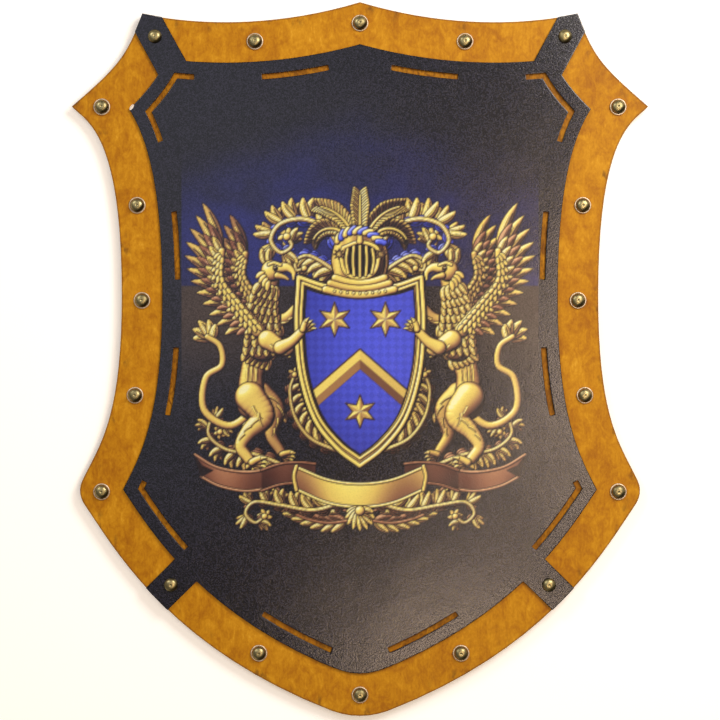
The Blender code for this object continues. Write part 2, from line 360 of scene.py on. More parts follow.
def close_up(crisp):
    """Turns the faces of the piece in edit mode outwards, leaves the mode and shades what is round smooth."""
    take_all()
    bpy.ops.mesh.normals_make_consistent(inside=False)
    object_mode()
    bpy.ops.object.shade_smooth_by_angle(angle=crisp)


def points_of(piece):
    """The places of a mesh's points, a row for each."""
    places = np.zeros(len(piece.data.vertices) * 3, np.float32)
    piece.data.vertices.foreach_get("co", places)
    return places.reshape(-1, 3).astype(float)


board = copy_of_node("backing_board", "stained_board")
pick(board, "FACE", lambda face: face.normal.z > -LEVEL)
bpy.ops.mesh.delete(type="FACE")
take_all()
bpy.ops.mesh.dissolve_faces()
object_mode()
corners = board.data.vertices
outline = [tuple(corners[i].co.xy) for i in walked([tuple(edge.vertices) for edge in board.data.edges])]
edit_mode()
take_all()
bpy.ops.mesh.extrude_region_move(TRANSFORM_OT_translate={"value": (0, 0, FACE_HEIGHT)})
take_all()
bpy.ops.mesh.normals_make_consistent(inside=False)
pick(board, "EDGE", lambda edge: np.ptp(heights_of(board, edge)) < MERGE_DISTANCE)
bpy.ops.mesh.bevel(offset=BOARD_EDGE_ROUNDING, segments=2)
pick(board, "FACE", lambda face: face.normal.z > LEVEL and face.center.z > FACE_HEIGHT - MERGE_DISTANCE)
for ring in RIM_RINGS:
    bpy.ops.mesh.inset(thickness=ring, depth=0)
for axis, half in ((0, board.dimensions.x / 2), (1, board.dimensions.y / 2)):
    direction = [0, 0, 0]
    direction[axis] = 1
    for cut_at in np.arange(FACE_MESH / 2 - half, half, FACE_MESH):
        take_all()
        bpy.ops.mesh.bisect(plane_co=[share * cut_at for share in direction], plane_no=direction)
object_mode()

nails = sorted(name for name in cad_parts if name.startswith("nail_"))
drills = []
bpy.ops.object.select_all(action="DESELECT")
for name in nails:
    bpy.ops.mesh.primitive_cylinder_add(
        vertices=NAIL_HOLE_SIDES,
        radius=NAIL_HOLE_RADIUS,
        depth=FACE_HEIGHT * 2 - NAIL_HOLE_FLOOR,
        location=(*middle_of(name), FACE_HEIGHT + NAIL_HOLE_FLOOR / 2),
    )
    drills.append(bpy.context.object)
alone(drills[0])
for item in drills:
    item.select_set(True)
bpy.ops.object.join()
drill = bpy.context.object
alone(board)
cut = board.modifiers.new("nail_holes", "BOOLEAN")
cut.operation = "DIFFERENCE"
cut.object = drill
cut.solver = "MANIFOLD"
bpy.ops.object.modifier_apply(modifier="nail_holes")
bpy.data.objects.remove(drill)
bpy.ops.object.shade_smooth_by_angle(angle=CRISP_EDGE)

write_values(board, "rim_distance", reach_to(points_of(board)[:, :2], outline))

wood = Finish("stained_birch_plywood", Specular_IOR_Level=0.14)
height = wood.axis(2)
blotch = wood.noise(0.050, detail=4.0, seed=3.0)
cloud = wood.noise(0.0105, detail=5.0, stretch=(0.8, 1.15, 1.0), seed=11.0, distortion=0.9, roughness=0.62)
wisp = wood.noise(0.0072, detail=4.0, stretch=(0.7, 1.5, 1.0), turn=0.35, seed=17.0, distortion=1.6)
speck = wood.noise(0.0016, detail=3.0, stretch=(0.8, 1.3, 1.0), seed=23.0)
streak = wood.noise(0.0011, detail=3.0, stretch=(1.0, 22.0, 1.0), seed=5.0)
flame = wood.noise(0.012, detail=3.0, stretch=(1.0, 5.0, 1.0), seed=31.0)
soaked = (blotch - 0.5) * 0.8 + (cloud - 0.5) * 1.3 + (wisp - 0.5) * 0.7 + (speck - 0.5) * 0.5
soaked = soaked + (streak - 0.5) * 0.20 + (flame - 0.5) * 0.30 + 0.50
stain = wood.add("ShaderNodeValToRGB", (soaked,), stops=STAIN)
rim = wood.attribute("rim_distance")
smudge = wood.noise(0.010, detail=5.0, stretch=(0.8, 1.5, 1.0), seed=41.0).band(0.56, 0.72)
near_rim = rim.band(0.0085, 0.0015)
grimed = wood.mix(smudge * near_rim * 0.75, stain, GRIME)
scorch_width = wood.noise(0.006, detail=3.0, seed=53.0) * 0.0011 + 0.0002
scorched = wood.mix(rim.band(scorch_width + 0.0004, scorch_width) * 0.45, grimed, SCORCH)
ply = (height * (PLY_COUNT / FACE_HEIGHT)).do("FRACT")
glue_line = ply.band(0.10, 0.02) + ply.band(0.92, 0.99)
crosswise = (height * (PLY_COUNT / FACE_HEIGHT / 2)).do("FRACT").band(0.49, 0.51)
char = wood.noise(0.0012, detail=3.0, stretch=(1.0, 1.0, 9.0), seed=61.0)
plies = wood.mix(crosswise * 0.6 + char * 0.4, *CHARRED_PLIES)
plies = wood.mix(glue_line * 0.6, plies, CHARRED_GLUE)
upright = wood.axis(2, wood.add("ShaderNodeNewGeometry", output="Normal")).do("ABSOLUTE")
on_face = upright.band(0.35, 0.75)
back_side = height.band(FACE_HEIGHT * 0.5, 0.0)
# Wood more than 29 to 32 mm in from the rim, seen only in the slots, is darkened in mottles: part smoke, part
# painted shade.
smoke_and_shade_mottle = (wisp - 0.5) * 2.0 + (speck - 0.5) * 1.4 + 0.50
smoked_and_shaded = wood.mix(rim.band(*SLOTS_FROM_RIM) * smoke_and_shade_mottle.band(0.0, 1.0), scorched, SMOKE_AND_SHADE)
chipped = wood.mix(chip(wood), smoked_and_shaded, CHIP_COLOUR)
bare = wood.mix((streak - 0.5) * 0.9 + (flame - 0.5) * 1.1 + 0.5, *BARE_BIRCH)
flat = wood.mix(back_side * upright.band(0.9, 0.99), chipped, bare)
wood.feed(
    Base_Color=wood.mix(on_face, plies, flat),
    Roughness=0.62 - on_face * 0.14 + (cloud - 0.5) * 0.22,
    Normal=wood.bump(streak * 0.6 + speck * 0.4, 0.00010, 0.55),
)
dress(board, wood)
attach(board, "root")
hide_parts("backing_board")


# The panel: one sheet of fine-grained dark leather, cut by laser with its slots and its four arms, glued flat
# on the board. A colour print lies on it: two hazes, and a picture whose gold only looks raised.
PANEL_EDGE_ROUNDING = 0.00022
PANEL_RING = 0.0004
PRINT_MESH = 0.00072
PRINT_LEFT, PRINT_BOTTOM = -0.1116, -0.1116
PRINT_COLUMNS, PRINT_ROWS = 311, 312
MILLIMETRES = 1000
EDGE_TURN = math.radians(50)
HAZE_LINE = 0.046
HAZE_SIDE = 0.1123
HAZE_EDGE = 0.0008
HIDE = (0.0008, 0.0008, 0.0020), (0.020, 0.0180, 0.032)
NIGHT_BLUE = (0.008, 0.010, 0.085), (0.026, 0.030, 0.200)
DUSK_BROWN = (0.038, 0.022, 0.015), (0.100, 0.065, 0.045)

GOLD = (
    (0.00, (26, 15, 20)),
    (0.18, (78, 46, 38)),
    (0.36, (142, 94, 64)),
    (0.50, (196, 152, 86)),
    (0.64, (232, 200, 100)),
    (0.80, (248, 226, 112)),
    (0.93, (254, 240, 134)),
    (1.00, (255, 248, 186)),
)
COPPER = (
    (0.00, (24, 13, 16)),
    (0.30, (82, 44, 36)),
    (0.60, (138, 86, 62)),
    (0.85, (188, 130, 92)),
    (1.00, (230, 182, 134)),
)
BLUE = (
    (0.00, (12, 11, 48)),
    (0.35, (40, 46, 146)),
    (0.65, (80, 90, 228)),
    (0.88, (120, 134, 244)),
    (1.00, (172, 182, 252)),
)
HOLLOW = np.array((14, 9, 14)) / 255
FOLD_SHADE = np.array((30, 14, 14)) / 255
LAMP = np.array((-0.50, 0.62, 0.60))
INK_WIDTH = 0.40
FEATHERS = 12
COVERTS = 13


def smooth(points, count):
    """A path of a number of points, smoothly through some given ones."""
    given = np.array(points, float)
    if len(given) == 2:
        return given[0] + (given[1] - given[0]) * np.linspace(0, 1, count)[:, None]
    ends = np.vstack([2 * given[0] - given[1], given, 2 * given[-1] - given[-2]])
    path = []
    for place in np.linspace(0, len(given) - 1, count):
        i = min(int(place), len(given) - 2)
        t = place - i
        a, b, c, d = ends[i : i + 4]
        turn = (2 * a - 5 * b + 4 * c - d) * t**2 + (3 * b - a - 3 * c + d) * t**3
        path.append(0.5 * (2 * b + (c - a) * t + turn))
    return np.array(path)


def runs(path):
    """How far along a path each of its points lies."""
    return np.concatenate([[0], np.hypot(*(path[1:] - path[:-1]).T).cumsum()])


def at_share(path, share):
    """The point at a share of a path's length, and the path's heading there."""
    run = runs(path)
    middle = share * run[-1]
    near = [max(middle - 0.6, 0), middle, min(middle + 0.6, run[-1])]
    x = np.interp(near, run, path[:, 0])
    y = np.interp(near, run, path[:, 1])
    return np.array((x[1], y[1])), math.atan2(y[2] - y[0], x[2] - x[0])


def bent(base, heading, length, bend, count=10):
    """A path that starts at a heading and turns steadily as it goes."""
    headings = heading + bend * np.linspace(0, 1, count)
    steps = np.stack([np.cos(headings), np.sin(headings)], -1) * length / (count - 1)
    steps[0] = base
    return steps.cumsum(0), headings


def leaf_widths(count, width):
    """Half-widths of a leaf, from its narrow foot over its widest place to its point."""
    widest = 0.42
    t = np.linspace(0, 1, count)
    rise = 0.3 + 0.7 * np.sin(np.clip(t / widest, 0, 1) * math.pi / 2) ** 0.8
    fall = np.clip(np.cos(np.clip((t - widest) / (1 - widest), 0, 1) * math.pi / 2), 0, 1) ** 0.75
    return width * np.where(t < widest, rise, fall)


def left_of(heading):
    """The direction square to a heading, on its left."""
    return np.stack([-np.sin(heading), np.cos(heading)], -1)


def shades(ramp, light):
    """The colours of a ramp at lights from 0 to 1."""
    at = [position for position, _ in ramp]
    return np.stack([np.interp(light, at, [c[i] / 255 for _, c in ramp]) for i in range(3)], -1)


def plain(colour):
    """A paint for fill: one colour all over."""
    return lambda x, y: np.broadcast_to(colour, (*x.shape, 3))


class Picture:
    """A picture of rounded, lit strokes. Its places are in millimetres from the shield's middle."""

    def __init__(self, left, bottom, columns, rows, step):
        self.x = left + (np.arange(columns) + 0.5) * step
        self.y = bottom + (np.arange(rows) + 0.5) * step
        self.step = step
        self.colour = np.zeros((rows, columns, 3))
        self.cover = np.zeros((rows, columns))
        self.side = 1

    def near(self, path, margin):
        """The part of the picture round a path: its slices and the places in it."""
        low, high = path.min(0) - margin, path.max(0) + margin
        across = slice(*np.searchsorted(self.x, (low[0], high[0])))
        up = slice(*np.searchsorted(self.y, (low[1], high[1])))
        return (up, across), *np.meshgrid(self.x[across], self.y[up])

    def lay(self, where, colour, share):
        """Lays a colour over what is there, as thick as share says."""
        self.colour[where] = self.colour[where] * (1 - share[..., None]) + colour * share[..., None]
        self.cover[where] = self.cover[where] * (1 - share) + share

    def stroke(self, path, widths, tone=0.0, ramp=GOLD, ink=INK_WIDTH):
        """A stroke lit as a round bar and edged in dark ink, with half-widths spread along its path."""
        path = np.asarray(path, float) * (self.side, 1)
        widths = np.atleast_1d(widths)
        widths = np.interp(np.linspace(0, 1, len(path)), np.linspace(0, 1, len(widths)), widths)
        where, x, y = self.near(path, widths.max() + ink + self.step * 2)
        if x.size == 0:
            return
        start, span = path[:-1], path[1:] - path[:-1]
        length = np.maximum((span**2).sum(1), 1e-9)
        dx, dy = x[..., None] - start[:, 0], y[..., None] - start[:, 1]
        t = np.clip((dx * span[:, 0] + dy * span[:, 1]) / length, 0, 1)
        dx, dy = dx - t * span[:, 0], dy - t * span[:, 1]
        width = widths[:-1] + (widths[1:] - widths[:-1]) * t
        beyond = np.hypot(dx, dy) - width
        nearest = beyond.argmin(-1)[..., None]
        beyond, width, dx, dy = (
            np.take_along_axis(values, nearest, -1)[..., 0] for values in (beyond, width, dx, dy)
        )
        width = np.maximum(width, 1e-3)
        out = np.clip((dx**2 + dy**2) / width**2, 0, 1)
        lit = (dx * LAMP[0] + dy * LAMP[1]) / width + np.sqrt(1 - out * 0.98) * LAMP[2]
        light = 0.30 + 0.58 * lit + tone + 0.22 * np.clip((lit - 0.78) / 0.2, 0, 1)
        light = light - 0.35 * np.clip((np.sqrt(out) - 0.78) / 0.22, 0, 1)
        dark = shades(ramp, light * 0) * 0.8
        self.lay(where, dark, np.clip(0.5 - (beyond - ink) / self.step, 0, 1))
        self.lay(where, shades(ramp, np.clip(light, 0, 1)), np.clip(0.5 - beyond / self.step, 0, 1))

    def fill(self, outline, paint):
        """Fills an outline with the colours that paint(x, y) gives."""
        outline = np.asarray(outline, float) * (self.side, 1)
        where, x, y = self.near(outline, self.step * 2)
        share = np.zeros(x.shape)
        for shift_x in (-0.25, 0.25):
            for shift_y in (-0.25, 0.25):
                px, py = x + shift_x * self.step, y + shift_y * self.step
                inside = np.zeros(x.shape, bool)
                for (ax, ay), (bx, by) in zip(outline, np.roll(outline, 1, axis=0)):
                    if ay != by:
                        crossing = (bx - ax) * (py - ay) / (by - ay) + ax
                        inside ^= ((ay > py) != (by > py)) & (px < crossing)
                share += inside / 4
        self.lay(where, paint(x * self.side, y), share)

    def ball(self, x, y, radius, tone=0.0, ink=INK_WIDTH):
        """A round bead or boss."""
        self.stroke([(x, y), (x + 0.01, y)], radius, tone, ink=ink)

    def leaf(self, base, heading, length, width, bend, tone=0.0, ramp=GOLD, ribs=True):
        """A pointed leaf, feather or lobe, with a bright rib on its lit side and a dark one on the other."""
        path, headings = bent(base, heading, length, bend)
        widths = leaf_widths(len(path), width)
        self.stroke(path, widths, tone, ramp)
        if ribs:
            left = left_of(headings)
            lamp_side = np.sign(left[len(left) // 2] @ (LAMP[:2] * (self.side, 1)))
            groove = path - left * widths[:, None] * 0.34 * lamp_side
            ridge = path + left * widths[:, None] * 0.30 * lamp_side
            self.stroke(groove[1:-2], widths[1:-2] * 0.12 + 0.05, tone - 0.55, ramp, ink=0)
            self.stroke(ridge[1:-3], widths[1:-3] * 0.18 + 0.06, tone + 0.30, ramp, ink=0)

    def frond(self, path, size, lobes, side, taper, tone, lining=COPPER):
        """An acanthus frond: groups of lobes along both sides of a stem, drawn from its tip back."""
        end, heading = at_share(path, 1.0)
        for number in range(6):
            self.leaf(end, heading + number * 1.05, size * 0.34, size * 0.10, 0.5, tone, ribs=False)
        for number in range(lobes, 0, -1):
            share = (number - 0.5) / lobes
            base, heading = at_share(path, share)
            length = size * (1 - (1 - taper) * share)
            for turn, reach, shade in ((0.95, 0.55, 0.0), (0.45, 0.65, 0.05)):
                inward = heading - side * turn
                self.leaf(base, inward, length * reach, length * 0.17, side * 0.9, tone + shade, lining)
            for turn, reach, shade in ((1.40, 0.75, -0.20), (1.00, 1.0, -0.04), (0.55, 1.05, 0.06)):
                outward = heading + side * turn
                self.leaf(base, outward, length * reach, length * 0.20, side * 0.8, tone + shade)
        widths = size * 0.075 * np.array((1, taper)) + 0.25
        self.stroke(path, widths, tone + 0.04)
        self.stroke(path, widths * 0.3, tone + 0.40, ink=0)
        self.ball(*end, size * 0.13, tone + 0.08)

    def feathers(self, bone, spread, lengths, widths, headings, bend, tone, ramp=GOLD):
        """A row of feathers, from near the far end of a wing's bone to near its root."""
        rows = [np.linspace(*ends, FEATHERS) for ends in (spread, headings, lengths, widths)]
        for number, (place, heading, length, width) in enumerate(zip(*rows)):
            base, _ = at_share(bone, place)
            self.leaf(base, heading, length, width, bend, tone + 0.05 * (number % 2), ramp)


def paint_branches(art):
    """Laurel branches that spread from under the ribbon, their lower leaves copper."""
    for points, leaves, size in (
        (((-3, -101), (-22, -103), (-42, -97), (-60, -84)), 10, 12.0),
        (((-6, -96), (-20, -93), (-36, -92), (-50, -84)), 8, 9.5),
    ):
        stem = smooth(points, 30)
        for number in range(leaves, 0, -1):
            share = number / leaves
            base, heading = at_share(stem, share)
            grow = size * (1 - 0.35 * share)
            for side in (1, -1):
                turn = side * (0.75 - 0.35 * share)
                ramp = GOLD if side > 0 else COPPER
                art.leaf(base, heading + turn, grow, grow * 0.20, -side * 0.45, 0.0, ramp)
        art.stroke(stem, 0.8, 0.1, COPPER)


def paint_scrolls(art):
    """The mantling: acanthus scrolls round the escutcheon, the upper ones lined with blue."""
    flank = smooth(((-14, -58), (-31, -50), (-41, -36), (-44, -20), (-41, -10)), 36)
    art.frond(flank, 14.0, 8, -1, 0.6, -0.12)
    outer = smooth(((-50, -66), (-66, -60), (-84, -57), (-95, -48), (-93, -38), (-86, -40), (-88, -46)), 46)
    art.frond(outer, 13.5, 9, 1, 0.55, -0.06)
    base = smooth(((-6, -88), (-28, -95), (-50, -92), (-66, -90), (-72, -97), (-66, -103), (-60, -99)), 46)
    art.frond(base, 14.5, 9, -1, 0.55, -0.02)
    low = smooth(((-14, 54), (-24, 61), (-33, 65), (-40, 62), (-40, 56), (-35, 57)), 40)
    art.frond(low, 14.0, 7, 1, 0.6, -0.04, lining=BLUE)
    turns = (-10, 66), (-20, 81), (-35, 88), (-50, 85), (-56, 75), (-50, 67), (-43, 71), (-46, 77)
    art.frond(smooth(turns, 50), 18.0, 10, -1, 0.55, 0.04, lining=BLUE)


def paint_wing(art, bone, reach, tone):
    """A raised wing: three rows of feathers that hang from its bone, the long ones first."""
    bone = smooth(bone, 24)
    long = 33 * reach, 19 * reach
    middle = 21 * reach, 13 * reach
    short = 13 * reach, 8 * reach
    art.feathers(bone, (1.0, 0.10), long, (3.3, 3.0), (1.72, 3.3), 0.42, tone - 0.10)
    art.feathers(bone, (0.98, 0.06), middle, (2.8, 2.5), (1.80, 3.4), 0.36, tone, COPPER)
    art.feathers(bone, (0.96, 0.04), short, (2.4, 2.1), (1.86, 3.5), 0.30, tone + 0.04)
    art.stroke(bone, (4.4, 2.0), tone)
    for row, (shift, turn) in enumerate(((2.6, 0.6), (0.6, 0.24), (-1.6, -0.12))):
        for number in range(COVERTS):
            base, heading = at_share(bone, 0.97 - number * 0.073 - 0.02 * row)
            base = base + left_of(heading) * shift * (0.55 + 0.45 * number / COVERTS)
            shade = tone + 0.04 + 0.05 * (number % 2)
            art.leaf(base, heading + math.pi - turn, 4.8, 1.35, -0.2, shade, ribs=False)


def paint_paw(art, x, y, heading, size, tone):
    """Four toes with claws, spread round a heading."""
    for turn in (-0.75, -0.25, 0.25, 0.75):
        toe, _ = bent((x, y), heading + turn, size, -turn * 0.5, 6)
        art.stroke(toe, (size * 0.30, size * 0.24), tone)
        claw, _ = bent(toe[-1], heading + turn * 0.6, size * 0.5, -0.7, 5)
        art.stroke(claw, (size * 0.15, 0.12), tone + 0.2, ink=0.25)


def paint_limb(art, points, widths, tone, tufts=0, side=1):
    """A leg drawn along its bones, with tufts of fur that stand out on one side and locks on its flank."""
    path = smooth(points, 22)
    along = np.linspace(0, 1, len(widths))

    def on_side(share):
        """The place, the heading and the width at a share of the leg's length, and the way to its side."""
        base, heading = at_share(path, share)
        return base, heading, np.interp(share, along, widths), left_of(heading) * side

    for number in range(tufts, 0, -1):
        base, heading, width, out = on_side(0.15 + 0.75 * number / tufts)
        foot = base + out * width * 0.5
        art.leaf(foot, heading + side * 0.75, width * 1.5, width * 0.30, -side * 0.9, tone)
    art.stroke(path, widths, tone)
    for number in range(tufts):
        base, heading, width, out = on_side(0.12 + 0.66 * number / tufts)
        lock, _ = bent(base + out * width * 0.25, heading + side * 0.35, width * 1.15, -side * 0.5, 7)
        art.stroke(lock, (0.5, 0.15), tone - 0.30, ink=0)
        art.stroke(lock + out * 0.7, (0.7, 0.15), tone + 0.16, ink=0)


def paint_plumage(art, bone, rows, spans, reach, width, tone):
    """Rows of overlapping feathers along a neck or a chest, the lowest row first."""
    for row in range(rows - 1, -1, -1):
        share = (row + 0.5) / rows
        base, heading = at_share(bone, 1 - share)
        span = spans[0] + (spans[1] - spans[0]) * share
        count = 5 + row % 2
        for number in range(count):
            offset = 2 * number / (count - 1) - 1
            foot = base + left_of(heading) * span * offset
            shade = tone + 0.05 * ((row + number) % 2)
            art.leaf(foot, heading + math.pi - offset * 0.5, reach, width, offset * 0.4, shade)


def paint_griffin(art):
    """A griffin that rears up beside the escutcheon, its wings raised."""
    tail = smooth(((-66, -32), (-82, -42), (-98, -32), (-97, -12), (-87, -4), (-88, 8), (-96, 14)), 40)
    for turn, reach in ((0.9, 12), (0.45, 14), (0.0, 15), (-0.45, 13), (-0.85, 10)):
        art.leaf(tail[-3], 2.0 + turn, reach, 2.9, 0.35, 0.06)
    art.stroke(tail, (2.5, 1.7))
    paint_wing(art, ((-58, 22), (-66, 38), (-74, 52), (-72, 66)), 0.82, -0.12)
    far_leg = (-62, -22), (-53, -32), (-56, -47), (-50, -58)
    paint_limb(art, far_leg, (7.5, 6.0, 3.8, 3.0), -0.16, tufts=4)
    paint_paw(art, -49, -60, -0.3, 6.0, -0.10)
    paint_limb(art, ((-56, 22), (-46, 26), (-40, 33)), (4.5, 3.4, 2.4), -0.12, tufts=3, side=-1)
    paint_paw(art, -39.5, 34, 0.8, 5.0, -0.06)
    torso = smooth(((-68, -29), (-68, -10), (-62, 8), (-58, 26)), 26)
    art.stroke(torso, np.interp(np.linspace(0, 1, 26), (0, 0.35, 0.7, 1), (9.0, 7.2, 9.4, 8.2)), -0.02)
    for shift, length in ((-3.4, 17), (-0.6, 20), (2.4, 16)):
        rib, _ = bent((-67 + shift, -14), 1.62, length, -0.3, 9)
        art.stroke(rib, (0.3, 0.9), -0.26, ink=0)
        art.stroke(rib - (0.9, 0), (0.3, 1.0), 0.14, ink=0)
    paint_plumage(art, torso[13:], 4, (8.4, 5.6), 8.5, 2.7, -0.02)
    near_leg = (-69, -24), (-61, -36), (-70, -46), (-75, -55), (-70, -63)
    paint_limb(art, near_leg, (9.6, 7.4, 5.0, 3.6, 3.2), 0.02, tufts=5, side=-1)
    paint_paw(art, -68, -65, -0.1, 7.0, 0.04)
    neck = smooth(((-61, 8), (-61, 26), (-60, 38), (-57, 49)), 20)
    art.stroke(neck, (9.6, 6.2), -0.06)
    paint_plumage(art, neck, 8, (4.6, 9.0), 9.0, 2.5, 0.02)
    paint_wing(art, ((-64, 18), (-77, 34), (-88, 50), (-87, 68)), 1.0, 0.03)
    arm = (-58, 12), (-47, 6), (-42, 12), (-37, 18)
    paint_limb(art, arm, (6.2, 4.4, 3.0, 2.6), 0.05, tufts=3, side=-1)
    art.leaf((-60, 60), 1.9, 10.0, 2.3, -0.25, 0.02)
    art.leaf((-57.5, 61), 1.65, 9.0, 2.3, -0.25, 0.02)
    art.ball(-55.5, 55.5, 6.6, 0.04)
    beak = smooth(((-51, 57.5), (-45.5, 57.5), (-42, 54.5), (-42, 50)), 14)
    art.stroke(beak, (3.4, 0.5), 0.12)
    jaw = smooth(((-52, 52.5), (-47.5, 51.5), (-45, 50)), 10)
    art.stroke(jaw, (2.0, 0.6), -0.06)
    lips = smooth(((-53, 55), (-48, 54.6), (-44.5, 52.8)), 10)
    art.stroke(lips, 0.35, -0.6, ink=0)
    brow = smooth(((-57.5, 59.4), (-54, 60.6), (-50.0, 59.2)), 8)
    art.stroke(brow, 0.9, 0.2)
    art.ball(-53.2, 57.0, 1.35, -0.6, ink=0.3)
    art.ball(-53.6, 57.5, 0.45, 0.6, ink=0)
    for number in range(4):
        start = (-60.5 + number * 1.1, 54.5 - number * 1.9)
        art.leaf(start, 3.5 + number * 0.25, 6.2, 1.7, 0.5, 0.06, ribs=False)


def mirrored(half):
    """Half an outline, which ends on the middle line, and its mirror image from there on."""
    return np.vstack([half, half[::-1][1:] * (-1, 1)])


def escutcheon_outline(grow):
    """A heater with a hollowed chief; grow is how far outside the plain one."""
    chief = smooth(((0, 45.5), (8, 41.5), (20, 41.5), (35, 46.5)), 14)
    flank = smooth(((35, 45), (36.2, 20), (34, -8), (26, -34), (13, -51), (0, -61)), 26)
    middle = np.array((0.0, -2.0))
    half = middle + (np.vstack([chief, flank[1:]]) - middle) * (1 + grow / 42)
    return mirrored(half)


def paint_escutcheon(art):
    """The blue escutcheon in a gold rim, with a gold chevron between three stars."""

    def field(x, y):
        light = 0.62 - 0.16 * (((x - 12) / 44) ** 2 + ((y - 6) / 64) ** 2)
        lozenge = np.cos((x + y) * 0.62) * np.cos((x - y) * 0.62)
        return shades(BLUE, np.clip(light + 0.03 * np.sign(lozenge), 0, 1))

    art.fill(escutcheon_outline(2.6), field)
    top, reach, thick = 7.0, 31, 13.5
    lit = top - 1.2
    layers = (top, thick, 0.16), (lit, thick - 2.4, 0.74), (lit - thick * 0.45, thick * 0.55 - 1.4, 0.42)
    for peak, rise, light in layers:
        for side in (1, -1):
            shade = light - 0.10 * (side > 0)
            end = peak - 27
            corners = [(0, peak), (reach * side, end), (reach * side, end - rise), (0, peak - rise)]
            art.fill(corners, lambda x, y: shades(GOLD, shade + 0.0016 * (x - y) * LAMP[0]))
    for grow, width, tone, ink in ((2.6, 3.2, -0.14, 0.9), (4.4, 1.2, 0.20, 0.4), (1.2, 0.9, 0.14, 0.4)):
        art.stroke(escutcheon_outline(grow), width, tone, ink=ink)
    for x, y, size in ((-16, 25, 11.0), (16, 25, 11.0), (0, -33, 10.5)):
        paint_star(art, x, y, size)


def paint_star(art, x, y, size, points=6):
    """A star whose every point is a ridge, one side lit and one in shade."""
    corners = np.arange(2 * points + 1)
    turns = math.pi / 2 + math.pi * corners / points
    reach = np.where(corners % 2, size * 0.45, size)
    outline = np.stack([x + reach * np.cos(turns), y + reach * np.sin(turns)], -1)
    for number in corners[:-1:2]:
        for side in (1, -1):
            facing = turns[number] + side * math.pi / 2
            lit = 0.62 + 0.36 * (math.cos(facing) * LAMP[0] + math.sin(facing) * LAMP[1])
            notch = outline[(number + side) % (2 * points)]
            art.fill([(x, y), outline[number], notch], plain(shades(GOLD, lit)))
    art.stroke(outline, 0.35, -0.5, ink=0)


def paint_plumes(art):
    """Five plumes over the helm, the middle one upright, the others with their tips curled over."""
    for lean, reach in ((1.15, 26), (-1.15, 26), (0.58, 30), (-0.58, 30), (0.0, 27)):
        spine, _ = bent((lean * 7, 76), math.pi / 2 - lean * 0.40, reach, -lean * 1.9, 26)
        for number in range(15, 0, -1):
            base, heading = at_share(spine, number / 15)
            length = 9.4 * (1.05 - 0.75 * abs(number / 15 - 0.55))
            for side in (1, -1):
                shade = 0.04 - 0.10 * (number % 2) - 0.10 * (lean * side > 0)
                art.leaf(base, heading + side * 1.05, length, 2.0, -side * 0.75, shade)
        art.stroke(spine, (1.1, 0.5), 0.10)


def paint_helm(art):
    """A barred helm seen from the front, on a gorget with a gold edge and under a twisted wreath."""

    def plate(x, y):
        lit = 0.46 - 0.016 * x + 0.006 * (y - 62) - 0.0011 * x**2 * (x > 0)
        return shades(GOLD, np.clip(lit + 0.10 * np.cos(x * 0.9), 0, 1))

    skull = mirrored(smooth(((-14, 50), (-16.5, 62), (-13.5, 74), (-6, 81), (0, 82.5)), 22))
    art.stroke(np.vstack([skull, skull[:1]]), 1.2, -0.1, ink=0.8)
    art.fill(skull, plate)
    mouth = (-10.5, 70), (0, 73.5), (10.5, 70), (11.5, 62), (8.5, 54), (0, 50.5), (-8.5, 54), (-11.5, 62)
    mouth = smooth((*mouth, mouth[0]), 60)
    art.fill(mouth, plain(HOLLOW))
    art.stroke(mouth, 1.15, 0.12)
    for x in (-7.4, -3.7, 0, 3.7, 7.4):
        reach = 9.6 - 0.035 * x * x
        bar = smooth(((x * 1.05, 61.5 + reach), (x * 1.18, 62), (x, 62 - reach * 1.05)), 12)
        art.stroke(bar, 0.85, 0.10, ink=0.3)
    crest = smooth(((0, 74), (0, 82.5)), 6)
    art.stroke(crest, (1.9, 1.7, 1.6, 1.5, 1.4, 1.3), 0.10)
    for y, reach, tone in ((47.5, 15.5, 0.05), (44.0, 18.5, -0.04), (40.2, 21.5, 0.08)):
        right = (0, y), (reach * 0.5, y + 1), (reach, y + 3.5)
        left = (-reach, y + 3.5), (-reach * 0.5, y + 1)
        art.stroke(smooth((*left, *right), 24), 2.3, tone)
    for x in range(-16, 20, 4):
        art.ball(x, 41.4 + 0.005 * x * x, 0.8, 0.30, ink=0.3)
    for x in (-13.2, 13.2):
        paint_star(art, x, 66, 3.4, 8)
    wreath = smooth(((-14, 74), (-7, 79.5), (0, 81), (7, 79.5), (14, 74)), 30)
    for number in range(10):
        base, heading = at_share(wreath, (number + 0.5) / 10)
        twist, _ = bent(base - (1.6, 1.2), heading + 0.9, 4.4, -0.6, 6)
        art.stroke(twist, 1.7, 0.08, BLUE if number % 2 else GOLD)


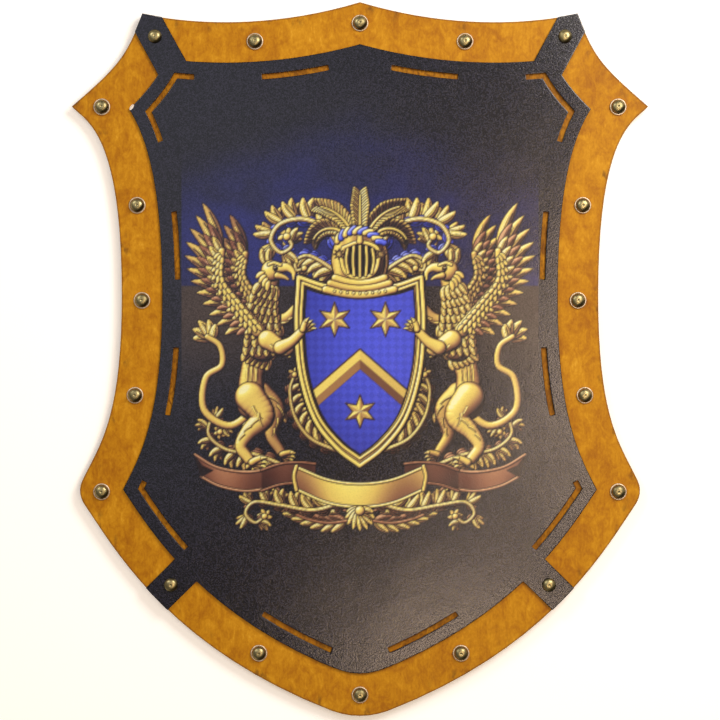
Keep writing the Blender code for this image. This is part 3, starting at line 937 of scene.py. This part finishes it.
def paint_ribbon(art):
    """A blank ribbon in three folds: a gold middle, copper turns behind it and forked ends."""

    def band(top, bottom, ramp, tone, wave):
        """A stretch of ribbon between its two edges, lit in soft folds."""
        edge_top, edge_bottom = smooth(top, 26), smooth(bottom, 26)
        outline = np.vstack([edge_top, edge_bottom[::-1]])

        def cloth(x, y):
            share = np.interp(x, edge_top[:, 0], np.linspace(0, 1, 26))
            height = np.interp(x, edge_top[:, 0], edge_top[:, 1])
            depth = height - np.interp(x, edge_bottom[:, 0], edge_bottom[:, 1])
            across = np.clip((height - y) / np.maximum(depth, 0.1), 0, 1)
            light = 0.55 + tone + wave * np.cos((share - 0.42) * 7.5) - 0.16 * across
            return shades(ramp, np.clip(light, 0, 1))

        art.fill(outline, cloth)
        for line in (edge_top, edge_bottom):
            art.stroke(line, 0.75, tone + 0.16, ramp)

    end_top = (-104, -60), (-90, -68), (-72, -71), (-56, -69)
    end_bottom = (-100, -74), (-88, -80), (-72, -83), (-56, -81)
    turn_top = (-62, -70), (-50, -66), (-38, -65), (-28, -66)
    turn_bottom = [(x, y - 13) for x, y in turn_top]
    middle_top = (-40, -68), (-20, -76), (0, -78.5), (20, -76), (40, -68)
    middle_bottom = (-40, -82), (-20, -90.5), (0, -93), (20, -90.5), (40, -82)
    for art.side in (1, -1):
        band(end_top, end_bottom, COPPER, 0.10, 0.16)
        band(turn_top, turn_bottom, COPPER, -0.16, 0.10)
        art.fill([(-105, -59), (-99, -67), (-92, -70), (-100, -74.5)], plain(FOLD_SHADE))
    art.side = 1
    band(middle_top, middle_bottom, GOLD, 0.12, 0.20)
    for art.side in (1, -1):
        art.stroke(smooth(((-40, -67.5), (-41.5, -74), (-40, -82.5)), 10), 1.1, 0.05)
    art.side = 1


def paint_shell(art):
    """A scallop under the ribbon, where the branches meet."""
    for number in range(9):
        turn = -math.pi / 2 + (number - 4) * 0.33
        art.leaf((0, -94), turn, 14.5 - 0.35 * (number - 4) ** 2, 2.3, 0.0, 0.04)
    art.ball(0, -95.5, 3.0, 0.10)


def painted_print():
    """The whole art, from what lies furthest back to what lies in front."""
    step = PRINT_MESH * MILLIMETRES / 2
    left, bottom = PRINT_LEFT * MILLIMETRES - step, PRINT_BOTTOM * MILLIMETRES - step
    art = Picture(left, bottom, PRINT_COLUMNS * 2, PRINT_ROWS * 2, step)
    for paint in (paint_branches, paint_scrolls, paint_griffin):
        for art.side in (1, -1):
            paint(art)
    art.side = 1
    paint_escutcheon(art)
    for art.side in (1, -1):
        paint_limb(art, ((-50, 7), (-43, 11), (-37, 17)), (4.4, 3.2, 2.6), 0.05)
        paint_paw(art, -36, 18.5, 0.7, 6.0, 0.06)
    art.side = 1
    paint_plumes(art)
    paint_helm(art)
    paint_ribbon(art)
    paint_shell(art)
    return art


panel_low, panel_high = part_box("leather_panel")
panel = copy_of_node("leather_panel", "leather_face")
edit_mode()
bpy.ops.mesh.select_mode(type="EDGE")
bpy.ops.mesh.select_all(action="DESELECT")
bpy.ops.mesh.edges_select_sharp(sharpness=EDGE_TURN)
object_mode()
top = panel_high.z - MERGE_DISTANCE
for edge in panel.data.edges:
    edge.select = edge.select and min(heights_of(panel, edge)) > top
edit_mode()
bpy.ops.mesh.bevel(offset=PANEL_EDGE_ROUNDING, segments=2)
pick(panel, "FACE", lambda face: face.normal.z > LEVEL and face.center.z > top)
bpy.ops.mesh.inset(thickness=PANEL_RING, depth=0)
bpy.ops.mesh.delete(type="FACE")
object_mode()

bpy.ops.object.select_all(action="DESELECT")
bpy.ops.mesh.primitive_grid_add(x_subdivisions=PRINT_COLUMNS - 1, y_subdivisions=PRINT_ROWS - 1, size=1)
grid = bpy.context.object
spans = ((PRINT_COLUMNS - 1) * PRINT_MESH, (PRINT_ROWS - 1) * PRINT_MESH)
grid.scale = (*spans, 1.0)
grid.location = (PRINT_LEFT + spans[0] / 2, PRINT_BOTTOM + spans[1] / 2, panel_high.z)
bpy.ops.object.transform_apply(location=True, rotation=False, scale=True)
panel.select_set(True)
bpy.context.view_layer.objects.active = panel
bpy.ops.object.join()
edit_mode()
bpy.ops.mesh.select_mode(type="EDGE")
bpy.ops.mesh.select_all(action="DESELECT")
others = dict.fromkeys(("use_wire", "use_multi_face", "use_non_contiguous", "use_verts"), False)
bpy.ops.mesh.select_non_manifold(extend=False, use_boundary=True, **others)
bpy.ops.mesh.fill(use_beauty=True)
close_up(CRISP_EDGE)

picture = painted_print()
halves = (PRINT_ROWS, 2, PRINT_COLUMNS, 2)
colours = picture.colour.reshape(*halves, 3).mean((1, 3))
covers = picture.cover.reshape(halves).mean((1, 3))
covers[[0, -1]] = 0
covers[:, [0, -1]] = 0
colours = colours / np.maximum(covers, 0.001)[..., None]
# The ramps hold the colours as a screen shows them, and an attribute holds them as light.
colours = np.where(colours <= 0.04045, colours / 12.92, ((colours + 0.055) / 1.055) ** 2.4)
places = points_of(panel)
column = np.rint((places[:, 0] - PRINT_LEFT) / PRINT_MESH).astype(int)
row = np.rint((places[:, 1] - PRINT_BOTTOM) / PRINT_MESH).astype(int)
printed = (places[:, 2] > top) & (column >= 0) & (column < PRINT_COLUMNS) & (row >= 0) & (row < PRINT_ROWS)
values = np.zeros((len(places), 4), np.float32)
values[printed, :3] = colours[row[printed], column[printed]]
values[printed, 3] = covers[row[printed], column[printed]]
ink = panel.data.attributes.new("print", "FLOAT_COLOR", "POINT")
ink.data.foreach_set("color", values.ravel())

leather = Finish("dark_printed_leather", Specular_IOR_Level=0.60, Specular_Tint=(1.0, 0.93, 0.88, 1.0))
pebble = leather.noise(0.0010, detail=2.0, seed=2.0)
pore = leather.noise(0.0007, detail=1.0, seed=8.0)
cloud = leather.noise(0.060, detail=3.0, seed=15.0)
drift = leather.noise(0.034, detail=2.0, stretch=(1.3, 0.9, 1.0), seed=27.0).band(0.36, 0.62)
across = leather.axis(0)
out = across.do("ABSOLUTE")
up = leather.axis(1)
hide = leather.mix((pebble - 0.5) * 3.4 + (pore - 0.5) * 4.2 + (cloud - 0.5) * 0.6 + 0.40, *HIDE)
in_print = out.band(HAZE_SIDE + 0.0005, HAZE_SIDE - 0.0005)
above = up.band(HAZE_LINE - HAZE_EDGE, HAZE_LINE + HAZE_EDGE)
night = above * (up + out * 0.30).band(0.168, 0.095) * in_print
night = night * (across.band(0.10, -0.06) * 0.35 + 0.65) * (drift * 0.55 + 0.45)
dusk = (1 - above) * up.band(-0.030, 0.036) * in_print
dusk = dusk * (out.band(0.030, 0.100) * 0.8 + 0.2)
grainy = (pebble - 0.5) * 1.2 + (pore - 0.5) * 1.4 + 0.5
hide = leather.mix(night, hide, leather.mix(grainy, *NIGHT_BLUE))
hide = leather.mix(dusk * 0.75, hide, leather.mix(grainy, *DUSK_BROWN))
worn_ink = leather.mix(0.10 - grainy * 0.16, leather.attribute("print", "Color"), (0.0, 0.0, 0.0))
inked = leather.mix(leather.attribute("print", "Alpha"), hide, worn_ink)
leather.feed(
    Base_Color=leather.mix(chip(leather), inked, CHIP_COLOUR),
    Roughness=(pebble - 0.5) * 0.10 + 0.20,
    Normal=leather.bump(pebble * 0.6 + pore * 0.4 + cloud * 4.0, 0.00024, 0.5),
)
dress(panel, leather)
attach(panel, "root")
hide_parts("leather_panel")


# The nails: upholstery nails with pressed heads of antique brass, each a dome with a dimple in its crown.
# Painted shade darkens the lower right flank of every head. Those on bare wood sit in a bright cup washer,
# the rest go through the leather.
NAIL_SIDES = 48
NAIL_CRISP_EDGE = math.radians(50)
HEAD_LIP = 0.00025
LIP_TUCK = 0.00012
SHANK_RADIUS = 0.0011
POINT_LENGTH = 0.0015
POLE_RADIUS = 0.00004
DIMPLE_RADIUS = 0.00085
DIMPLE_DEPTH = 0.00032
DIMPLE_RINGS = 6
DOME_RINGS = 13
SHADED_FLANK_SIDE = (0.64, -0.77)
ROLL_RADIUS = 0.00052
CUP_SLOPE = 0.0009
CUP_RISE = 0.00048
WASHER_SHEET = 0.0003
WASHER_BORE = 0.0030
WASHER_FOOT = 0.0001
BRASS = (0.33, 0.26, 0.115), (0.46, 0.37, 0.17)
DULL_BRASS = (0.19, 0.15, 0.065)
# The colour of the painted shade on each head's lower right flank.
FLANK_SHADE = (0.030, 0.024, 0.010)
BRIGHT_BRASS = (0.84, 0.67, 0.47), (0.60, 0.44, 0.27)


def turned(name, profile):
    """A round piece, drawn ring by ring along a profile of (radius, height), its ends closed or merged."""
    (radius, height), *rest = profile
    bpy.ops.object.select_all(action="DESELECT")
    bpy.ops.mesh.primitive_circle_add(vertices=NAIL_SIDES, radius=radius, location=(0, 0, 0))
    piece = bpy.context.object
    piece.name = name
    edit_mode()
    bpy.ops.transform.translate(value=(0, 0, height))
    for next_radius, next_height in rest:
        bpy.ops.mesh.extrude_region_move(TRANSFORM_OT_translate={"value": (0, 0, next_height - height)})
        share = next_radius / radius
        bpy.ops.transform.resize(value=(share, share, 1), center_override=(0, 0, next_height))
        radius, height = next_radius, next_height
    take_all()
    bpy.ops.mesh.remove_doubles(threshold=MERGE_DISTANCE / 2)
    bpy.ops.mesh.fill_holes(sides=0)
    close_up(NAIL_CRISP_EDGE)
    return piece


def copy_at(pattern, name, place):
    """A copy of a turned piece, with a mesh of its own that holds its place."""
    alone(pattern)
    bpy.ops.object.duplicate(linked=False)
    piece = bpy.context.object
    piece.name = name
    piece.location = place
    bpy.ops.object.transform_apply(location=True, rotation=False, scale=False)
    return piece


def arc(centre_radius, centre_height, radius, start, end, steps):
    """Points of a profile along an arc, its angles in degrees from straight out."""
    turns = [math.radians(start + (end - start) * step / steps) for step in range(steps + 1)]
    return [(centre_radius + radius * math.cos(t), centre_height + radius * math.sin(t)) for t in turns]


head_low, head_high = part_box("nail_peak")
washer_low, washer_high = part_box("washer_peak")
head_radius = (head_high.x - head_low.x) / 2
washer_radius = (washer_high.x - washer_low.x) / 2
seat = washer_high.z + washer_low.z - FACE_HEIGHT
head_height = head_high.z - seat
shank_length = seat - head_low.z
nail_profile = []
for step in range(DIMPLE_RINGS):
    depth = DIMPLE_DEPTH * (1 + math.cos(math.pi * step / DIMPLE_RINGS)) / 2
    nail_profile.append((POLE_RADIUS + DIMPLE_RADIUS * step / DIMPLE_RINGS, head_height - depth))
for step in range(DOME_RINGS + 1):
    turn = math.radians(90 * step / DOME_RINGS)
    radius = DIMPLE_RADIUS + (head_radius - DIMPLE_RADIUS) * math.sin(turn)
    nail_profile.append((radius, HEAD_LIP + (head_height - HEAD_LIP) * math.cos(turn)))
nail_profile += [(head_radius - LIP_TUCK, 0.0), (SHANK_RADIUS, 0.0)]
nail_profile += [(SHANK_RADIUS, POINT_LENGTH - shank_length), (POLE_RADIUS, -shank_length)]
nail_pattern = turned("nail_pattern", nail_profile)
# The flank value grows towards each head's lower right side, where the finish paints shade.
write_values(nail_pattern, "flank", points_of(nail_pattern)[:, :2] @ SHADED_FLANK_SIDE / head_radius)

washer_height = washer_high.z - washer_low.z
roll_at = washer_radius - ROLL_RADIUS
washer_profile = arc(roll_at, washer_height - ROLL_RADIUS, ROLL_RADIUS, -35, 150, 8)
washer_profile += [(roll_at - CUP_SLOPE, CUP_RISE), (WASHER_BORE, WASHER_SHEET)]
washer_profile += [(WASHER_BORE, 0.0), (roll_at + WASHER_FOOT, 0.0), washer_profile[0]]
washer_pattern = turned("washer_pattern", washer_profile)

brass = Finish("antique_brass_head", Metallic=1.0)
patch = brass.noise(0.0040, detail=3.0, seed=4.0)
pit = brass.noise(0.0007, detail=2.0, seed=9.0)
dull = patch.band(0.50, 0.62)
aged = brass.mix(dull * 0.5, brass.mix(pit, *BRASS), DULL_BRASS)
# The head's colour: random dull patches, and painted shade darkening its lower right flank.
brass.feed(
    Base_Color=brass.mix(brass.attribute("flank").band(0.22, 0.72) * 0.88, aged, FLANK_SHADE),
    Roughness=0.34 + dull * 0.10 + pit * 0.06,
    Normal=brass.bump(pit, 0.00006, 0.4),
)

bright = Finish("bright_brass_washer", Metallic=0.7)
film = bright.noise(0.0030, detail=3.0, seed=6.0)
turned_mark = bright.noise(0.0005, detail=2.0, seed=12.0)
bright.feed(
    Base_Color=bright.mix(film.band(0.35, 0.7), *BRIGHT_BRASS),
    Roughness=0.40 + turned_mark * 0.08,
)

for name in nails:
    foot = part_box(name)[1].z - head_height
    nail = copy_at(nail_pattern, "brass_" + name, (*middle_of(name), foot))
    dress(nail, brass)
    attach(nail, "root")
    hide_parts(name)
for name in sorted(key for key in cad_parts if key.startswith("washer_")):
    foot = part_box(name)[0].z
    washer = copy_at(washer_pattern, "bright_" + name, (*middle_of(name), foot))
    dress(washer, bright)
    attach(washer, "root")
    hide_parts(name)
bpy.data.objects.remove(nail_pattern)
bpy.data.objects.remove(washer_pattern)
